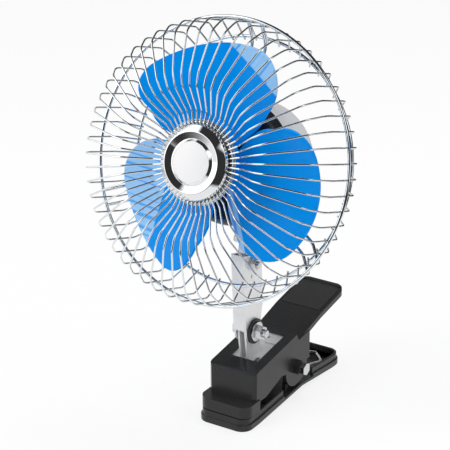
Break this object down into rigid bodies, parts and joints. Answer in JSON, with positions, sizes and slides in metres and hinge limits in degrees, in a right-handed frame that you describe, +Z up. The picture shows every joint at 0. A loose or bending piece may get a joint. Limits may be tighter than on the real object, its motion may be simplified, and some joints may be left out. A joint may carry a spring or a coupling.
{
  "type": "clip-on car fan",
  "caption": "Clip-on car fan: chrome wire guard, translucent blue blades, motor head on a tilting channel stem, black spring clamp.",
  "frame": {"origin": "on the clamp's front sole, the flat that the clamp stands on under the jaws, 11.5 mm behind its front edge", "axes": "+Z up, the fan blows toward -Y, +X to the right seen from the front"},
  "size_m": [0.2024, 0.2078, 0.307],
  "materials": {
    "black_plastic": "satin moulded",
    "pad_rubber": "matte",
    "zinc_steel": "bright zinc",
    "plated_sheet": "satin plated",
    "dark_metal": "painted",
    "grey_housing": "satin",
    "can_steel": "drawn",
    "bearing_bronze": "sintered",
    "board_brown": "matte",
    "chrome_wire": "polished",
    "chrome_badge": "polished",
    "satin_disc": "satin",
    "blue_blade": "translucent"
  },
  "bodies": {
    "base": {"lower_jaw": "black_plastic", "lower_pad": "pad_rubber", "hinge_bolt": "zinc_steel", "hinge_nut": "zinc_steel", "clamp_spring": "zinc_steel"},
    "lever": {"upper_jaw": "black_plastic", "upper_pad": "pad_rubber", "bracket": "plated_sheet", "bracket_rivets": "zinc_steel", "pivot_spacer": "zinc_steel", "pivot_bolt": "zinc_steel", "pivot_disc": "black_plastic", "pivot_washer": "zinc_steel", "pivot_nut": "zinc_steel"},
    "stem": {"stem_channel": "plated_sheet", "tilt_bolt": "zinc_steel", "tilt_washer": "zinc_steel", "tilt_nut": "zinc_steel"},
    "neck": {"neck": "zinc_steel", "swivel_pin": "zinc_steel"},
    "head": {"motor_cap": "black_plastic", "motor_housing": "grey_housing", "motor_can": "can_steel", "magnets": "dark_metal", "front_bearing": "bearing_bronze", "rear_bearing": "bearing_bronze", "brush_plate": "board_brown", "brushes": "board_brown", "cord_grommet": "black_plastic", "guard_ribs": "chrome_wire", "guard_hoop": "chrome_wire", "guard_rear_ring": "chrome_wire", "guard_hub_ring": "chrome_wire", "guard_struts": "chrome_wire", "strut_screws": "zinc_steel", "badge_cap": "chrome_badge", "badge_disc": "satin_disc", "badge_back": "zinc_steel", "badge_screw": "zinc_steel"},
    "rotor": {"impeller": "blue_blade", "shaft": "zinc_steel", "armature": "dark_metal", "windings": "bearing_bronze", "commutator": "bearing_bronze", "blade_nut": "zinc_steel"}
  },
  "joints": [
    {"name": "jaw_open", "type": "hinge", "parent": "base", "child": "lever", "pos_m": [0, 0.062, 0.0233], "axis": [-1, 0, 0], "range_deg": [0, 25], "stiffness_Nm_per_rad": 4, "springref_deg": -14.32, "deforming": ["clamp_spring"]},
    {"name": "stem_pivot", "type": "hinge", "parent": "lever", "child": "stem", "pos_m": [0, 0.024, 0.065], "axis": [1, 0, 0], "range_deg": [-30, 30]},
    {"name": "head_tilt", "type": "hinge", "parent": "stem", "child": "neck", "pos_m": [0, 0.02064, 0.1199], "axis": [-1, 0, 0], "range_deg": [-20, 25]},
    {"name": "head_swivel", "type": "hinge", "parent": "neck", "child": "head", "pos_m": [0, 0.02064, 0.1199], "axis": [0, 0.2957, 0.9553], "range_deg": [-40, 40]},
    {"name": "blade_spin", "type": "hinge", "parent": "head", "child": "rotor", "pos_m": [0, -0.01193, 0.20744], "axis": [0, -0.9553, 0.2957], "continuous": true}
  ]
}
